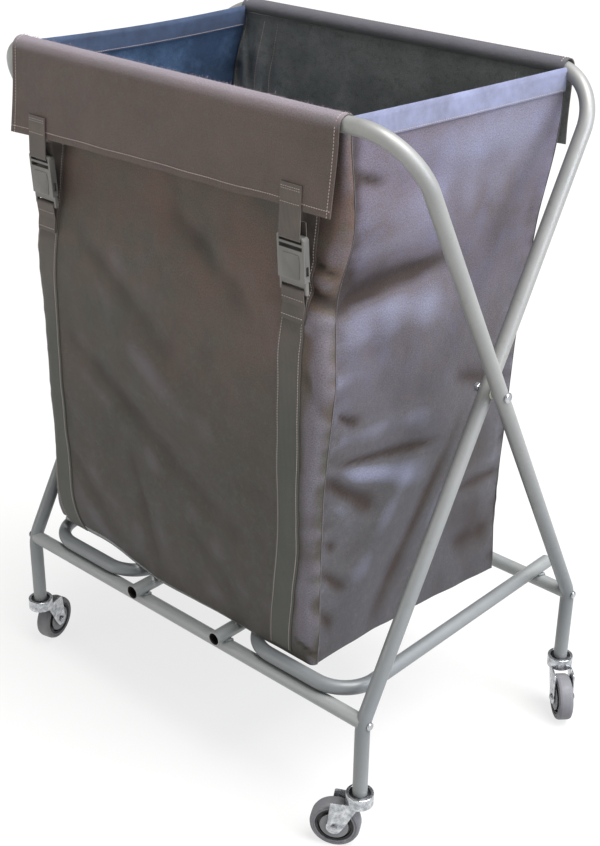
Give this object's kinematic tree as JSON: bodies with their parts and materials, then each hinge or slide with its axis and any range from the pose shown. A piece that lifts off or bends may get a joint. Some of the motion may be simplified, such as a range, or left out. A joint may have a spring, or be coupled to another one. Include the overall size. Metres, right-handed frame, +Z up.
{
  "type": "folding linen trolley",
  "caption": "Linen trolley: crossed tube frames that fold on pivot bolts, swivel castors, base loops, and an open cloth bag hung over the top bars with flaps, straps and side-release buckles.",
  "frame": {"origin": "on the floor, under the middle of the overall box", "axes": "+X along the trolley to its right end, -Y is the front with the seen flap and buckles, +Z up"},
  "size_m": [0.8976, 0.5693, 1.0621],
  "materials": {
    "frame_tube": "light grey powder coat, satin",
    "castor_fork": "bright zinc plate",
    "bolt": "zinc-plated steel",
    "washer": "natural nylon",
    "castor_stem": "dark steel",
    "wheel_core": "black moulded polypropylene",
    "tyre": "grey non-marking rubber",
    "bag": "coated woven nylon, taupe, satin",
    "flap": "coated woven nylon, taupe, satin",
    "webbing": "woven webbing, taupe",
    "buckle": "moulded acetal, grey-brown"
  },
  "bodies": {
    "inner_frame": {"inner_frame_tube": "frame_tube", "front_rail": "frame_tube", "centre_base_loop": "frame_tube", "front_left_rail_bolt": "bolt", "front_right_rail_bolt": "bolt", "front_left_castor_stem": "castor_stem", "front_right_castor_stem": "castor_stem", "bag_rear_panel": "bag", "bag_left_panel": "bag", "bag_right_panel": "bag", "bag_floor_panel": "bag", "rear_flap": "flap", "rear_left_flap_strap": "webbing", "rear_right_flap_strap": "webbing", "rear_left_webbing": "webbing", "rear_right_webbing": "webbing", "rear_left_buckle_plug": "buckle", "rear_right_buckle_plug": "buckle"},
    "outer_frame": {"outer_frame_tube": "frame_tube", "rear_rail": "frame_tube", "left_base_loop": "frame_tube", "right_base_loop": "frame_tube", "rear_left_rail_bolt": "bolt", "rear_right_rail_bolt": "bolt", "left_pivot_bolt": "bolt", "right_pivot_bolt": "bolt", "left_pivot_nut": "bolt", "right_pivot_nut": "bolt", "left_pivot_washer": "washer", "right_pivot_washer": "washer", "rear_left_castor_stem": "castor_stem", "rear_right_castor_stem": "castor_stem", "bag_front_panel": "bag", "front_flap": "flap", "front_left_webbing": "webbing", "front_right_webbing": "webbing", "front_left_flap_strap": "webbing", "front_right_flap_strap": "webbing", "front_left_buckle_plug": "buckle", "front_right_buckle_plug": "buckle"},
    "front_left_swivel": {"front_left_castor_fork": "castor_fork", "front_left_castor_axle": "bolt"},
    "front_left_wheel": {"front_left_wheel_core": "wheel_core", "front_left_tyre": "tyre"},
    "front_right_swivel": {"front_right_castor_fork": "castor_fork", "front_right_castor_axle": "bolt"},
    "front_right_wheel": {"front_right_wheel_core": "wheel_core", "front_right_tyre": "tyre"},
    "rear_left_swivel": {"rear_left_castor_fork": "castor_fork", "rear_left_castor_axle": "bolt"},
    "rear_left_wheel": {"rear_left_wheel_core": "wheel_core", "rear_left_tyre": "tyre"},
    "rear_right_swivel": {"rear_right_castor_fork": "castor_fork", "rear_right_castor_axle": "bolt"},
    "rear_right_wheel": {"rear_right_wheel_core": "wheel_core", "rear_right_tyre": "tyre"},
    "front_left_buckle": {"front_left_buckle_socket": "buckle"},
    "front_right_buckle": {"front_right_buckle_socket": "buckle"},
    "rear_left_buckle": {"rear_left_buckle_socket": "buckle"},
    "rear_right_buckle": {"rear_right_buckle_socket": "buckle"}
  },
  "joints": [
    {"name": "fold", "type": "hinge", "parent": "inner_frame", "child": "outer_frame", "pos_m": [0, 0, 0.65294], "axis": [-1, 0, 0], "range_deg": [0, 28], "deforming": ["bag_left_panel", "bag_right_panel", "bag_floor_panel"]},
    {"name": "front_left_swivels", "type": "hinge", "parent": "inner_frame", "child": "front_left_swivel", "pos_m": [-0.3632, -0.241, 0.0785], "axis": [0, 0, 1], "continuous": true},
    {"name": "front_left_rolls", "type": "hinge", "parent": "front_left_swivel", "child": "front_left_wheel", "pos_m": [-0.37234, -0.20825, 0.0375], "axis": [0.9632, 0.2689, 0], "continuous": true},
    {"name": "front_right_swivels", "type": "hinge", "parent": "inner_frame", "child": "front_right_swivel", "pos_m": [0.3632, -0.241, 0.0785], "axis": [0, 0, 1], "continuous": true},
    {"name": "front_right_rolls", "type": "hinge", "parent": "front_right_swivel", "child": "front_right_wheel", "pos_m": [0.33361, -0.25774, 0.0375], "axis": [-0.4924, 0.8704, 0], "continuous": true},
    {"name": "rear_left_swivels", "type": "hinge", "parent": "outer_frame", "child": "rear_left_swivel", "pos_m": [-0.387, 0.241, 0.0785], "axis": [0, 0, 1], "continuous": true},
    {"name": "rear_left_rolls", "type": "hinge", "parent": "rear_left_swivel", "child": "rear_left_wheel", "pos_m": [-0.41645, 0.258, 0.0375], "axis": [0.5, 0.866, 0], "continuous": true},
    {"name": "rear_right_swivels", "type": "hinge", "parent": "outer_frame", "child": "rear_right_swivel", "pos_m": [0.387, 0.241, 0.0785], "axis": [0, 0, 1], "continuous": true},
    {"name": "rear_right_rolls", "type": "hinge", "parent": "rear_right_swivel", "child": "rear_right_wheel", "pos_m": [0.41154, 0.21747, 0.0375], "axis": [-0.6921, -0.7218, 0], "continuous": true},
    {"name": "front_left_buckle_unclips", "type": "slide", "parent": "outer_frame", "child": "front_left_buckle", "axis": [0, -0.0646, 0.9979], "range_m": [0, 0.029], "deforming": ["front_left_flap_strap"]},
    {"name": "front_right_buckle_unclips", "type": "slide", "parent": "outer_frame", "child": "front_right_buckle", "axis": [0, -0.0646, 0.9979], "range_m": [0, 0.029], "deforming": ["front_right_flap_strap"]},
    {"name": "rear_left_buckle_unclips", "type": "slide", "parent": "inner_frame", "child": "rear_left_buckle", "axis": [0, 0.2725, 0.9622], "range_m": [0, 0.029], "deforming": ["rear_left_flap_strap"]},
    {"name": "rear_right_buckle_unclips", "type": "slide", "parent": "inner_frame", "child": "rear_right_buckle", "axis": [0, 0.2725, 0.9622], "range_m": [0, 0.029], "deforming": ["rear_right_flap_strap"]}
  ]
}
